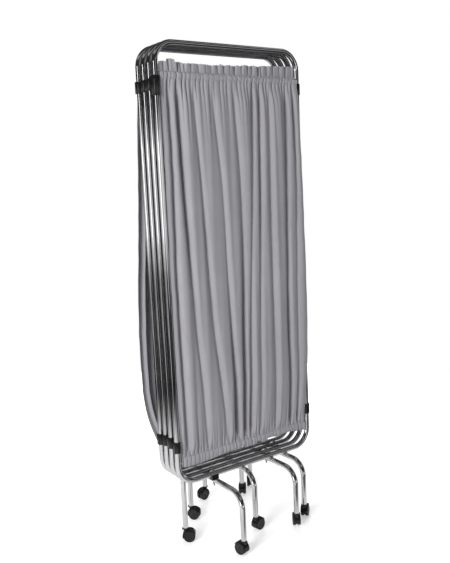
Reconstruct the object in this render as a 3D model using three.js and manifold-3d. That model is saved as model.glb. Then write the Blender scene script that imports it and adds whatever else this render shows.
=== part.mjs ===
// A folding ward privacy screen on wheels: four curtained tube frames folded into a stack.
// Millimetres, +Z up. X runs along the panels, Y runs from the front panel to the rear one,
// and the origin is the middle of the underside of the whole object's box, on the floor.
import * as THREE from "three";
import { mergeVertices } from "three/addons/utils/BufferGeometryUtils.js";
import Module from "manifold-3d";

const wasm = await Module();
wasm.setup();

// Frames: closed loops of round tube, one per panel.
const tubeDiameter = 19;
const panelWidth = 574; // between the stile axes
const panelHeight = 1450; // between the rail axes
const bottomRailHeight = 229.5; // axis of the bottom rail above the floor
const cornerRadius = 65;
const panelPitch = 36;
const panelNames = ["front", "second", "third", "rear"];

// Fits and facets.
const runningGap = 0.3;
const cutOverrun = 5;
const tubeSides = 12;
const cornerSteps = 5;

// Curtain rods, seated in blind holes in the stiles.
const rodDiameter = 8;
const rodSides = 8;
const rodSeat = 7; // depth of the holes for the rod ends
const rodEndGap = 0.3;
const topRodDrop = 97; // below the top rail's axis
const bottomRodRise = 74; // above the bottom rail's axis

// Curtains: gathered cloth with a pocket round each rod and a frill above the top pocket.
const clothThickness = 3;
const pocketThickness = 14;
const pocketHalfHeight = 11;
const headerRise = 38; // cloth above the top rod's axis
const hemDrop = 14; // cloth below the bottom rod's axis
const frillDepth = 4;
const gatherDepth = 2;
const stileClearance = 13.5; // from a stile's axis to the cloth's side edge
const columnsPerFold = 4;
const bodyRowShares = [0.05, 0.18, 0.36, 0.6, 0.78, 0.93];
const reachRiseShares = [0.06, 0.18];
const reachFallShares = [0.6, 0.78];
const bellyPowerShare = 0.6; // moves the fullest height of a curtain below its middle
const edgeFoldShare = 0.25;
const edgeWidthShare = 0.08;
const foldDepth = 9;
const curtainForms = {
  front: { leftBelly: -4, rightBelly: -26, leftReach: 0, rightReach: 11, folds: 6, drift: 1.2 },
  second: { leftBelly: 0, rightBelly: 0, leftReach: 0, rightReach: 0, folds: 4, drift: 0.5 },
  third: { leftBelly: 0, rightBelly: 0, leftReach: 0, rightReach: 0, folds: 4, drift: -0.5 },
  rear: { leftBelly: 76, rightBelly: 22, leftReach: 24, rightReach: 0, folds: 6, drift: -1 },
};

// Hinge links and end clips, black plastic round the stiles.
const clipOuterRadius = 12.5;
const clipHeight = 38;
const clipPadWidth = 14;
const tallClipHeight = 62;
const tallClipGroove = 4;
const tallClipGrooveDepth = 1.4;
const tallClipGrooveDrop = 24; // from the top of the tall clip to its groove
const linkWaist = 13;
const upperClipDrop = 128; // middle of the upper links and end clip below the top rail's axis
const tallClipDrop = 134; // middle of the tall clip, likewise
const lowerLinkRise = 140; // middle of the lower links above the bottom rail's axis
const lowerClipRise = 133; // middle of the lower end clips, likewise
const clipCurveSteps = 6;

// Foot arches, the straight leg and what bolts them to the rails.
const archSpan = 333; // between the leg axes
const archBendRadius = 54;
const archDrop = 20; // arch tube's axis below the rail's axis
const legEndHeight = 50;
// Where each arch stands, as shares of the straight run of its bottom rail from the left.
const archPlaceShares = { front: 0.17, second: 0.757, third: 0.91, rear: 0.466 };
const hingeLegPlace = 36; // from the left stile's axis of the second panel
const saddleLength = 28;
const saddleWidth = 24;
const saddleWrap = 1; // the saddle ends this far short of each tube's axis
const hingeLegDrop = 12.5; // top end of the straight leg below the rail's axis
const plugDiameter = 14;
const plugDepth = 20; // of the plug into the leg
const boltDiameter = 6;
const boltHeadDiameter = 12;
const boltHeadHeight = 4;
const nutDiameter = 11;
const nutHeight = 5;
const boltTip = 8; // thread below the nut
const boltSides = 8;
const legBoltDepth = 14; // of the straight leg's bolt into its plug

// Casters.
const wheelRadius = 21;
const wheelWidth = 11;
const casterWidth = 28;
const wheelChamfer = 1.3;
const wheelSides = 16;
const axleDiameter = 6;
const casterTrail = 12;
const hoodGap = 0.5;
const hoodThickness = 2.4;
const hoodWidth = 26;
const hoodStartAngle = THREE.MathUtils.degToRad(25);
const hoodEndAngle = THREE.MathUtils.degToRad(200);
const hoodSteps = 4;
const webGap = 0.5;
const webBossRadius = 8;
const collarDiameter = 20;
const collarHeight = 6;
const stemDiameter = 11;
const stemLength = 30;
const stemSides = 10;
const lugLength = 5;
const lugWidth = 8;
const lugHeight = 6;
const casterTurns = {
  // trail direction of each caster, in degrees from +X
  front_front: 103,
  front_back: 305,
  second_front: 56,
  second_back: 50,
  third_front: 40,
  third_back: 56,
  rear_front: 10,
  rear_back: 192,
  hinge_leg: 325,
};

const up = new THREE.Vector3(0, 0, 1);
const across = new THREE.Vector3(1, 0, 0);
const through = new THREE.Vector3(0, 1, 0);
const tubeRadius = tubeDiameter / 2;
const rodRadius = rodDiameter / 2;
const plugRadius = plugDiameter / 2;
const boltRadius = boltDiameter / 2;
const axleRadius = axleDiameter / 2;
const halfPanel = panelWidth / 2;
const topRailHeight = bottomRailHeight + panelHeight;
const topRodHeight = topRailHeight - topRodDrop;
const bottomRodHeight = bottomRailHeight + bottomRodRise;
const upperClipHeight = topRailHeight - upperClipDrop;
const lowerLinkHeight = bottomRailHeight + lowerLinkRise;
const lowerClipHeight = bottomRailHeight + lowerClipRise;
const archAxisHeight = bottomRailHeight - archDrop;
const straightRun = panelWidth - cornerRadius * 2; // of a rail, between its bends

const chrome = { color: 0xd5d6d8, roughness: 0.12, metalness: 1 };
const steel = { color: 0xb9babc, roughness: 0.35, metalness: 1 };
const cloth = { color: 0x918f93, roughness: 0.9, metalness: 0 };
const blackPlastic = { color: 0x1b1b1d, roughness: 0.5, metalness: 0 };
const wheelPlastic = { color: 0x242426, roughness: 0.4, metalness: 0 };

// A piece is one named mesh with a material of its own.
function piece(name, geometry, look) {
  const mesh = new THREE.Mesh(geometry, new THREE.MeshStandardMaterial(look));
  mesh.name = name;
  return mesh;
}

// Joins the shared corners of a closed geometry, so that it can be cut and joined.
function welded(geometry) {
  const bare = geometry.clone();
  bare.deleteAttribute("normal");
  bare.deleteAttribute("uv");
  return mergeVertices(bare);
}

// The index without the triangles that have two corners in one place, as a lathe has on its axis.
function fullTriangles(index) {
  const kept = [];
  for (let i = 0; i < index.count; i += 3) {
    const a = index.getX(i);
    const b = index.getX(i + 1);
    const c = index.getX(i + 2);
    if (a !== b && b !== c && c !== a) {
      kept.push(a, b, c);
    }
  }
  return kept;
}

function toSolid(geometry) {
  const merged = welded(geometry);
  const vertProperties = new Float32Array(merged.getAttribute("position").array);
  const triVerts = new Uint32Array(fullTriangles(merged.getIndex()));
  return new wasm.Manifold(new wasm.Mesh({ numProp: 3, vertProperties, triVerts }));
}

function toGeometry(solid) {
  const mesh = solid.getMesh();
  const geometry = new THREE.BufferGeometry();
  geometry.setAttribute("position", new THREE.BufferAttribute(mesh.vertProperties, 3));
  geometry.setIndex(new THREE.BufferAttribute(mesh.triVerts, 1));
  return geometry;
}

// Joins the geometries of one list and cuts those of another from the result.
function carved(joined, cuts) {
  let solid = toSolid(joined[0]);
  for (const extra of joined.slice(1)) {
    solid = solid.add(toSolid(extra));
  }
  for (const cut of cuts) {
    solid = solid.subtract(toSolid(cut));
  }
  return toGeometry(solid);
}

// The corner radius of a many-sided bore whose flats clear a round shaft by the running gap.
function boreRadius(shaftRadius, sides) {
  return (shaftRadius + runningGap) / Math.cos(Math.PI / sides);
}

// A round bar along one of the axes, with a flat side facing up, down or outward.
function roundBar(radius, length, sides, direction, centre) {
  const bar = new THREE.CylinderGeometry(radius, radius, length, sides, 1, false, Math.PI / sides);
  bar.applyQuaternion(new THREE.Quaternion().setFromUnitVectors(through, direction));
  return bar.translate(centre.x, centre.y, centre.z);
}

// A round bar along a flat path, closed on itself or capped at both ends.
function bentBar(path, normal, radius, closed) {
  const count = path.length;
  const positions = [];
  for (let i = 0; i < count; i++) {
    const before = closed ? path[(i + count - 1) % count] : path[Math.max(i - 1, 0)];
    const after = closed ? path[(i + 1) % count] : path[Math.min(i + 1, count - 1)];
    const tangent = after.clone().sub(before).normalize();
    const side = new THREE.Vector3().crossVectors(tangent, normal);
    for (let k = 0; k < tubeSides; k++) {
      const angle = ((k + 0.5) / tubeSides) * Math.PI * 2;
      const corner = path[i].clone();
      corner.addScaledVector(side, radius * Math.cos(angle));
      corner.addScaledVector(normal, radius * Math.sin(angle));
      positions.push(corner.x, corner.y, corner.z);
    }
  }
  const indices = [];
  const spans = closed ? count : count - 1;
  for (let i = 0; i < spans; i++) {
    const here = i * tubeSides;
    const next = ((i + 1) % count) * tubeSides;
    for (let k = 0; k < tubeSides; k++) {
      const turn = (k + 1) % tubeSides;
      indices.push(here + k, next + k, here + turn);
      indices.push(here + turn, next + k, next + turn);
    }
  }
  if (!closed) {
    const last = (count - 1) * tubeSides;
    for (let k = 1; k < tubeSides - 1; k++) {
      indices.push(0, k, k + 1);
      indices.push(last, last + k + 1, last + k);
    }
  }
  const geometry = new THREE.BufferGeometry();
  geometry.setAttribute("position", new THREE.Float32BufferAttribute(positions, 3));
  geometry.setIndex(indices);
  return geometry;
}

// The axis of a panel's tube: a rectangle with round corners, standing in the XZ plane.
function frameLoop() {
  const straight = halfPanel - cornerRadius;
  const low = bottomRailHeight + cornerRadius;
  const high = topRailHeight - cornerRadius;
  const corners = [
    { x: straight, z: low, start: -Math.PI / 2 },
    { x: straight, z: high, start: 0 },
    { x: -straight, z: high, start: Math.PI / 2 },
    { x: -straight, z: low, start: Math.PI },
  ];
  const path = [];
  for (const corner of corners) {
    for (let i = 0; i <= cornerSteps; i++) {
      const angle = corner.start + (i / cornerSteps) * (Math.PI / 2);
      const x = corner.x + cornerRadius * Math.cos(angle);
      const z = corner.z + cornerRadius * Math.sin(angle);
      path.push(new THREE.Vector3(x, 0, z));
    }
  }
  return path;
}

// The axis of a foot arch: up one leg, over under the rail and down the other, in the YZ plane.
function archLine() {
  const straight = archSpan / 2 - archBendRadius;
  const spring = archAxisHeight - archBendRadius;
  const path = [new THREE.Vector3(0, -archSpan / 2, legEndHeight)];
  for (const side of [-1, 1]) {
    for (let i = 0; i <= cornerSteps; i++) {
      const turned = (i / cornerSteps) * (Math.PI / 2);
      const angle = side < 0 ? Math.PI - turned : Math.PI / 2 - turned;
      const y = side * straight + archBendRadius * Math.cos(angle);
      const z = spring + archBendRadius * Math.sin(angle);
      path.push(new THREE.Vector3(0, y, z));
    }
  }
  path.push(new THREE.Vector3(0, archSpan / 2, legEndHeight));
  return path;
}

function frameBar(radius) {
  return bentBar(frameLoop(), through, radius, true);
}

function archBar(radius) {
  return bentBar(archLine(), across, radius, false);
}

function boltHole(x) {
  const length = archDrop + (tubeDiameter + cutOverrun) * 2;
  const centre = new THREE.Vector3(x, 0, bottomRailHeight - archDrop / 2);
  return roundBar(boreRadius(boltRadius, boltSides), length, boltSides, up, centre);
}

// The tube frame, with a blind hole for each rod end and a hole for each bolt.
function frame(name, boltPlaces) {
  const holeLength = rodSeat + cutOverrun;
  const holeMiddle = halfPanel - tubeRadius + rodSeat - holeLength / 2;
  const holes = [];
  for (const x of [-holeMiddle, holeMiddle]) {
    for (const z of [bottomRodHeight, topRodHeight]) {
      const centre = new THREE.Vector3(x, 0, z);
      holes.push(roundBar(boreRadius(rodRadius, rodSides), holeLength, rodSides, across, centre));
    }
  }
  const boltHoles = boltPlaces.map(boltHole);
  return piece(`${name}_frame`, carved([frameBar(tubeRadius)], [...holes, ...boltHoles]), chrome);
}

function rod(name, height) {
  const length = panelWidth - tubeDiameter + (rodSeat - rodEndGap) * 2;
  const centre = new THREE.Vector3(0, 0, height);
  return piece(name, roundBar(rodRadius, length, rodSides, across, centre), steel);
}

// How far a curtain bellies out at a height share between its rods, from 0 at the rods to 1.
function belly(share) {
  return Math.sin(Math.PI * share ** bellyPowerShare);
}

// Where the cloth may pass in front of a stile: between the clips only, from 0 to 1.
function reach(share) {
  const rise = THREE.MathUtils.smoothstep(share, reachRiseShares[0], reachRiseShares[1]);
  const fall = THREE.MathUtils.smoothstep(share, reachFallShares[0], reachFallShares[1]);
  return rise * (1 - fall);
}

// The rows of a curtain from its hem to its header: height, half thickness and fold depth.
function curtainRows() {
  const half = clothThickness / 2;
  const rodSpan = topRodHeight - bottomRodHeight;
  const rows = [
    { z: bottomRodHeight - hemDrop, half, depth: frillDepth, share: 0 },
    { z: bottomRodHeight, half: pocketThickness / 2, depth: 0, share: 0 },
    { z: bottomRodHeight + pocketHalfHeight, half, depth: gatherDepth, share: 0 },
  ];
  for (const share of bodyRowShares) {
    const depth = gatherDepth + (foldDepth - gatherDepth) * Math.sin(Math.PI * share);
    rows.push({ z: bottomRodHeight + rodSpan * share, half, depth, share });
  }
  rows.push({ z: topRodHeight - pocketHalfHeight, half, depth: gatherDepth, share: 1 });
  rows.push({ z: topRodHeight, half: pocketThickness / 2, depth: 0, share: 1 });
  rows.push({ z: topRodHeight + pocketHalfHeight, half, depth: gatherDepth, share: 1 });
  rows.push({ z: topRodHeight + headerRise, half, depth: frillDepth, share: 1 });
  return rows;
}

// The middle of the cloth at a width share of a row.
function clothPoint(form, row, width) {
  const left = -halfPanel + stileClearance - form.leftReach * reach(row.share);
  const right = halfPanel - stileClearance + form.rightReach * reach(row.share);
  const nearEdge = Math.min(width, 1 - width) / edgeWidthShare;
  const fade = edgeFoldShare + (1 - edgeFoldShare) * Math.min(nearEdge, 1);
  const phase = form.folds * width + form.drift * row.share * (1 - width);
  const fold = row.depth * fade * Math.sin(Math.PI * 2 * phase);
  const bulge = THREE.MathUtils.lerp(form.leftBelly, form.rightBelly, width) * belly(row.share);
  return new THREE.Vector3(THREE.MathUtils.lerp(left, right, width), bulge + fold, row.z);
}

// The cloth as one closed sheet: its front faces, its back faces and a strip round the edge.
function curtainSheet(form) {
  const rows = curtainRows();
  const columns = form.folds * columnsPerFold;
  const positions = [];
  for (const side of [-1, 1]) {
    for (const row of rows) {
      for (let i = 0; i <= columns; i++) {
        const point = clothPoint(form, row, i / columns);
        positions.push(point.x, point.y + side * row.half, point.z);
      }
    }
  }
  const stride = columns + 1;
  const layer = stride * rows.length;
  const indices = [];
  const quad = (a, b, c, d) => indices.push(a, b, c, a, c, d);
  for (let j = 0; j < rows.length - 1; j++) {
    for (let i = 0; i < columns; i++) {
      const a = j * stride + i;
      quad(a, a + 1, a + 1 + stride, a + stride);
      quad(a + layer, a + stride + layer, a + 1 + stride + layer, a + 1 + layer);
    }
    const left = j * stride;
    const right = left + columns;
    quad(left, left + stride, left + stride + layer, left + layer);
    quad(right, right + layer, right + stride + layer, right + stride);
  }
  const top = (rows.length - 1) * stride;
  for (let i = 0; i < columns; i++) {
    quad(i, i + layer, i + 1 + layer, i + 1);
    quad(top + i, top + i + 1, top + i + 1 + layer, top + i + layer);
  }
  const geometry = new THREE.BufferGeometry();
  geometry.setAttribute("position", new THREE.Float32BufferAttribute(positions, 3));
  geometry.setIndex(indices);
  return geometry;
}

function curtain(name) {
  const bores = [bottomRodHeight, topRodHeight].map((height) => {
    const centre = new THREE.Vector3(0, 0, height);
    return roundBar(boreRadius(rodRadius, rodSides), panelWidth, rodSides, across, centre);
  });
  return piece(`${name}_curtain`, carved([curtainSheet(curtainForms[name])], bores), cloth);
}

// A bore for a stile in a flat outline.
function stileBore(y) {
  const bore = new THREE.Path();
  const radius = boreRadius(tubeRadius, clipCurveSteps * 2);
  bore.absarc(0, y, radius, 0, Math.PI * 2, true);
  return bore;
}

function standing(outline, height, middle) {
  const settings = { depth: height, bevelEnabled: false, curveSegments: clipCurveSteps };
  return new THREE.ExtrudeGeometry(outline, settings).translate(0, 0, middle - height / 2);
}

// A link: a figure of eight round a stile at the origin and the next one behind it.
function link(name, height) {
  const waist = linkWaist / 2;
  const lean = Math.asin(waist / clipOuterRadius);
  const outline = new THREE.Shape();
  outline.absarc(0, 0, clipOuterRadius, Math.PI / 2 + lean, Math.PI * 2.5 - lean, false);
  outline.absarc(0, panelPitch, clipOuterRadius, lean - Math.PI / 2, Math.PI * 1.5 - lean, false);
  outline.closePath();
  outline.holes.push(stileBore(0), stileBore(panelPitch));
  return piece(name, standing(outline, clipHeight, height), blackPlastic);
}

// An end clip: a sleeve round a free stile, with a flat pad on its outer side.
function endClip(name, length, middle, grooved) {
  const pad = clipPadWidth / 2;
  const lean = Math.asin(pad / clipOuterRadius);
  const outline = new THREE.Shape();
  outline.absarc(0, 0, clipOuterRadius, lean - Math.PI, Math.PI - lean, false);
  outline.lineTo(-clipOuterRadius, pad);
  outline.lineTo(-clipOuterRadius, -pad);
  outline.closePath();
  outline.holes.push(stileBore(0));
  const sleeve = standing(outline, length, middle);
  if (!grooved) {
    return piece(name, sleeve, blackPlastic);
  }
  const ring = new THREE.Shape();
  ring.absarc(0, 0, clipOuterRadius * 2, 0, Math.PI * 2, false);
  const core = new THREE.Path();
  core.absarc(0, 0, clipOuterRadius - tallClipGrooveDepth, 0, Math.PI * 2, true);
  ring.holes.push(core);
  const grooveHeight = middle + length / 2 - tallClipGrooveDrop;
  return piece(name, carved([sleeve], [standing(ring, tallClipGroove, grooveHeight)]), blackPlastic);
}

function box(x, y, low, high, sizeX, sizeY) {
  return new THREE.BoxGeometry(sizeX, sizeY, high - low).translate(x, y, (low + high) / 2);
}

function stemBore(y) {
  const length = stemLength + cutOverrun;
  const centre = new THREE.Vector3(0, y, legEndHeight + stemLength + runningGap - length / 2);
  return roundBar(boreRadius(stemDiameter / 2, stemSides), length, stemSides, up, centre);
}

function footArch(name, x) {
  const bores = [stemBore(-archSpan / 2), stemBore(archSpan / 2), boltHole(0)];
  return piece(`${name}_foot_arch`, carved([archBar(tubeRadius)], bores), chrome).translateX(x);
}

// The block between rail and arch, hollowed to sit on both tubes.
function saddle(name, x) {
  const seat = boreRadius(tubeRadius, tubeSides);
  const low = archAxisHeight + saddleWrap;
  const high = bottomRailHeight - saddleWrap;
  const block = box(x, 0, low, high, saddleLength, saddleWidth);
  const cuts = [frameBar(seat), archBar(seat).translate(x, 0, 0), boltHole(x)];
  return piece(`${name}_saddle`, carved([block], cuts), blackPlastic);
}

// The height of a bolt head's seat on the bottom rail, which rises towards a stile in its bend.
function headSeatAt(x) {
  const intoBend = Math.max(Math.abs(x) - halfPanel + cornerRadius, 0);
  const slope = Math.asin(intoBend / cornerRadius);
  const chordSag = intoBend > 0 ? cornerRadius * (1 - Math.cos(Math.PI / 4 / cornerSteps)) : 0;
  const rise = cornerRadius * (1 - Math.cos(slope)) + chordSag;
  const overTube = tubeRadius / Math.cos(slope) + (boltHeadDiameter / 2) * Math.tan(slope);
  return bottomRailHeight + rise + overTube + runningGap;
}

// A bolt with its head on the rail, turned in one with its nut where it has one.
function bolt(name, x, tip, nutTop) {
  const head = boltHeadDiameter / 2;
  const headSeat = headSeatAt(x);
  const nut = nutDiameter / 2;
  const nutRing = [
    new THREE.Vector2(boltRadius, nutTop - nutHeight),
    new THREE.Vector2(nut, nutTop - nutHeight),
    new THREE.Vector2(nut, nutTop),
    new THREE.Vector2(boltRadius, nutTop),
  ];
  const outline = [
    new THREE.Vector2(0, tip),
    new THREE.Vector2(boltRadius, tip),
    ...(nutTop === null ? [] : nutRing),
    new THREE.Vector2(boltRadius, headSeat),
    new THREE.Vector2(head, headSeat),
    new THREE.Vector2(head / 2, headSeat + boltHeadHeight),
    new THREE.Vector2(0, headSeat + boltHeadHeight),
  ];
  const turned = new THREE.LatheGeometry(outline, boltSides, Math.PI / boltSides);
  return piece(name, turned.rotateX(Math.PI / 2), steel).translateX(x);
}

function footBolt(name, x) {
  const nutTop = archAxisHeight - tubeRadius - runningGap;
  return bolt(`${name}_foot_bolt`, x, nutTop - nutHeight - boltTip, nutTop);
}

function legTop() {
  return bottomRailHeight - hingeLegDrop;
}

// A plain upright bar between two heights, on an axis at x.
function post(radius, low, high, sides, x) {
  return roundBar(radius, high - low, sides, up, new THREE.Vector3(x, 0, (low + high) / 2));
}

// The straight leg, bored for its caster below and for its plug above.
function hingeLeg(x) {
  const tube = post(tubeRadius, legEndHeight, legTop(), tubeSides, 0);
  const boreEnd = legTop() - plugDepth - runningGap;
  const bore = post(boreRadius(plugRadius, rodSides), boreEnd, legTop() + cutOverrun, rodSides, 0);
  return piece("hinge_leg", carved([tube], [stemBore(0), bore]), chrome).translateX(x);
}

// The plug of the straight leg: a collar seated on the rail above, and a spigot in the leg below.
function hingeLegPlug(x) {
  const high = bottomRailHeight - saddleWrap;
  const collar = post(tubeRadius, legTop() + runningGap, high, tubeSides, x);
  const spigot = post(plugRadius, legTop() - plugDepth, high, rodSides, x);
  const cuts = [frameBar(boreRadius(tubeRadius, tubeSides)), boltHole(x)];
  return piece("hinge_leg_plug", carved([collar, spigot], cuts), chrome);
}

// Two wheels and their axle, turned in one about the local Y axis, with a flat at the bottom.
function wheelPair() {
  const rim = wheelRadius / Math.cos(Math.PI / wheelSides);
  const outer = casterWidth / 2;
  const inner = outer - wheelWidth;
  const half = [
    new THREE.Vector2(0, outer),
    new THREE.Vector2(rim - wheelChamfer, outer),
    new THREE.Vector2(rim, outer - wheelChamfer),
    new THREE.Vector2(rim, inner),
    new THREE.Vector2(axleRadius, inner),
  ];
  const mirrored = half.map((point) => new THREE.Vector2(point.x, -point.y));
  const outline = [...mirrored, ...half.reverse()];
  return new THREE.LatheGeometry(outline, wheelSides, Math.PI / wheelSides);
}

// A flat outline in the local XZ plane made as thick as the width, centred on the plane.
function upright(outline, width, steps) {
  const settings = { depth: width, bevelEnabled: false, curveSegments: steps };
  const slab = new THREE.ExtrudeGeometry(outline, settings);
  slab.translate(0, 0, -width / 2);
  return slab.rotateX(Math.PI / 2);
}

// The caster's body about its swivel axis: hood, web between the wheels, collar, lug and stem.
function casterBody() {
  const rim = wheelRadius / Math.cos(Math.PI / wheelSides);
  const hoodStep = (hoodEndAngle - hoodStartAngle) / (hoodSteps * 2);
  const hoodInner = (rim + hoodGap) / Math.cos(hoodStep / 2);
  const hoodOuter = hoodInner + hoodThickness;
  const collarTop = legEndHeight - runningGap;
  const hoodOutline = new THREE.Shape();
  hoodOutline.absarc(casterTrail, wheelRadius, hoodOuter, hoodStartAngle, hoodEndAngle, false);
  hoodOutline.absarc(casterTrail, wheelRadius, hoodInner, hoodEndAngle, hoodStartAngle, true);
  hoodOutline.closePath();
  const hood = upright(hoodOutline, hoodWidth, hoodSteps);
  const webOutline = new THREE.Shape();
  const overlap = hoodInner + hoodThickness / 2;
  webOutline.absarc(casterTrail, wheelRadius, overlap, hoodStartAngle, hoodEndAngle, false);
  webOutline.absarc(casterTrail, wheelRadius, webBossRadius, Math.PI, Math.PI * 2, false);
  webOutline.closePath();
  const web = upright(webOutline, casterWidth - (wheelWidth + webGap) * 2, hoodSteps);
  const collarMiddle = new THREE.Vector3(0, 0, collarTop - collarHeight / 2);
  const collar = roundBar(collarDiameter / 2, collarHeight, tubeSides, up, collarMiddle);
  const stemHeight = stemLength + collarHeight / 2;
  const stemMiddle = new THREE.Vector3(0, 0, legEndHeight + stemLength - stemHeight / 2);
  const stem = roundBar(stemDiameter / 2, stemHeight, stemSides, up, stemMiddle);
  const lugX = -collarDiameter / 2 - lugLength / 2 + hoodThickness;
  const lug = box(lugX, 0, collarTop - lugHeight, collarTop, lugLength, lugWidth);
  const axle = new THREE.Vector3(casterTrail, 0, wheelRadius);
  const axleBore = roundBar(boreRadius(axleRadius, rodSides), casterWidth, rodSides, through, axle);
  return carved([hood, web, collar, stem, lug], [axleBore]);
}

// One caster under a leg at a place in its panel, turned to its trail direction.
function caster(name, x, y) {
  const group = new THREE.Group();
  const wheels = piece(`${name}_caster_wheels`, wheelPair(), wheelPlastic);
  wheels.position.set(casterTrail, 0, wheelRadius);
  group.add(piece(`${name}_caster_body`, casterBody(), blackPlastic), wheels);
  group.position.set(x, y, 0);
  group.rotation.z = THREE.MathUtils.degToRad(casterTurns[name]);
  return group;
}

// A group at a stile, for what turns about it: side is -1 for the left stile, 1 for the right.
function atStile(side, y, members) {
  const group = new THREE.Group();
  group.position.set(side * halfPanel, y, 0);
  return group.add(...members);
}

function linkPair(name, side, y) {
  const members = [link(`${name}_upper_link`, upperClipHeight), link(`${name}_lower_link`, lowerLinkHeight)];
  return atStile(side, y, members);
}

// The clips of a free left stile. The front panel's upper one is taller, with a groove round it.
function endClips(name, y, tall) {
  const length = tall ? tallClipHeight : clipHeight;
  const middle = tall ? topRailHeight - tallClipDrop : upperClipHeight;
  const upper = endClip(`${name}_upper_end_clip`, length, middle, tall);
  return atStile(-1, y, [upper, endClip(`${name}_lower_end_clip`, clipHeight, lowerClipHeight, false)]);
}

// The straight leg with its plug, bolt and caster.
function hingeLegParts(x) {
  const boltTipHeight = legTop() - legBoltDepth;
  const legBolt = bolt("hinge_leg_bolt", x, boltTipHeight, null);
  return [hingeLeg(x), hingeLegPlug(x), legBolt, caster("hinge_leg", x, 0)];
}

function panel(name, y) {
  const group = new THREE.Group();
  const archX = straightRun * (archPlaceShares[name] - 1 / 2);
  const legX = hingeLegPlace - halfPanel;
  const hasLeg = name === "second";
  group.add(frame(name, hasLeg ? [archX, legX] : [archX]), curtain(name));
  group.add(rod(`${name}_top_rod`, topRodHeight), rod(`${name}_bottom_rod`, bottomRodHeight));
  group.add(footArch(name, archX), saddle(name, archX), footBolt(name, archX));
  group.add(caster(`${name}_front`, archX, -archSpan / 2), caster(`${name}_back`, archX, archSpan / 2));
  if (hasLeg) {
    group.add(...hingeLegParts(legX));
  }
  group.position.y = y;
  return group;
}

const screen = new THREE.Group();
const panelPlaces = panelNames.map((name, i) => (i - (panelNames.length - 1) / 2) * panelPitch);
panelNames.forEach((name, i) => screen.add(panel(name, panelPlaces[i])));
screen.add(linkPair("front", 1, panelPlaces[0]));
screen.add(linkPair("middle", -1, panelPlaces[1]));
screen.add(linkPair("rear", 1, panelPlaces[2]));
screen.add(endClips("front", panelPlaces[0], true));
screen.add(endClips("rear", panelPlaces[3], false));

export default screen;
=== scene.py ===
import math

import bmesh
import bpy
import numpy as np
from mathutils import Matrix, Vector


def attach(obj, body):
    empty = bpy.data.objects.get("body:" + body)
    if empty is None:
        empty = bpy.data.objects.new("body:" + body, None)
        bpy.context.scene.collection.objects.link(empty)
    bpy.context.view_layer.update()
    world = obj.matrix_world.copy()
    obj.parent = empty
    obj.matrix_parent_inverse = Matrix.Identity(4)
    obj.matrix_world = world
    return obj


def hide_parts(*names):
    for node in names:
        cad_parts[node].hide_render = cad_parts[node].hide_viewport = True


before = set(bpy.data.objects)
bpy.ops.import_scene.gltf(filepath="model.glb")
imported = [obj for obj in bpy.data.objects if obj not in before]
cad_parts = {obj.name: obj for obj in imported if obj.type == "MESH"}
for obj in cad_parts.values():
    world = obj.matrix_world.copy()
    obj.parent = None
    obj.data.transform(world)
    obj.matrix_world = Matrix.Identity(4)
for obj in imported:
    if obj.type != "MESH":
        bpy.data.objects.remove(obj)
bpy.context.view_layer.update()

# The folding ward screen, dressed: metres, +Z up, X along the panels, Y from front to rear.

scene = bpy.context.scene
UP = Vector((0, 0, 1))
ACROSS = Vector((1, 0, 0))
THROUGH = Vector((0, 1, 0))

# Sizes of the CAD model, in metres.
TUBE_RADIUS = 0.0095
PANEL_WIDTH = 0.574
PANEL_HEIGHT = 1.45
BOTTOM_RAIL = 0.2295
CORNER_RADIUS = 0.065
PANEL_PITCH = 0.036
PANELS = ("front", "second", "third", "rear")
ROD_RADIUS = 0.004
ROD_SEAT = 0.0067
TOP_ROD_DROP = 0.097
BOTTOM_ROD_RISE = 0.074
STILE_CLEARANCE = 0.0135
CLIP_RADIUS = 0.0125
CLIP_HEIGHT = 0.038
CLIP_PAD = 0.014
TALL_CLIP_HEIGHT = 0.062
TALL_CLIP_GROOVE = 0.004
TALL_CLIP_GROOVE_DEPTH = 0.0014
TALL_CLIP_GROOVE_DROP = 0.024
TALL_CLIP_DROP = 0.134
LINK_WAIST = 0.013
UPPER_CLIP_DROP = 0.128
LOWER_LINK_RISE = 0.14
LOWER_CLIP_RISE = 0.133
ARCH_SPAN = 0.333
ARCH_BEND = 0.054
ARCH_DROP = 0.02
LEG_END = 0.05
ARCH_SHARES = {"front": 0.17, "second": 0.757, "third": 0.91, "rear": 0.466}
SADDLE_LENGTH = 0.028
SADDLE_WIDTH = 0.024
HINGE_LEG_PLACE = 0.036
HINGE_LEG_DROP = 0.0125
PLUG_RADIUS = 0.007
PLUG_DEPTH = 0.02
PLUG_BOLT_DEPTH = 0.014
SADDLE_SHORT = 0.001  # the saddle and the plug end this far short of a tube's axis
NUT_HEIGHT = 0.005
BOLT_TIP = 0.008
BOLT_HEAD_RADIUS = 0.006
CASTER_TURNS = {
    "front_front": 103, "front_back": 305, "second_front": 56, "second_back": 50,
    "third_front": 40, "third_back": 56, "rear_front": 10, "rear_back": 192,
    "hinge_leg": 325,
}
WHEEL_RADIUS = 0.021
WHEEL_WIDTH = 0.011
CASTER_WIDTH = 0.028
CASTER_TRAIL = 0.012

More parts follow.
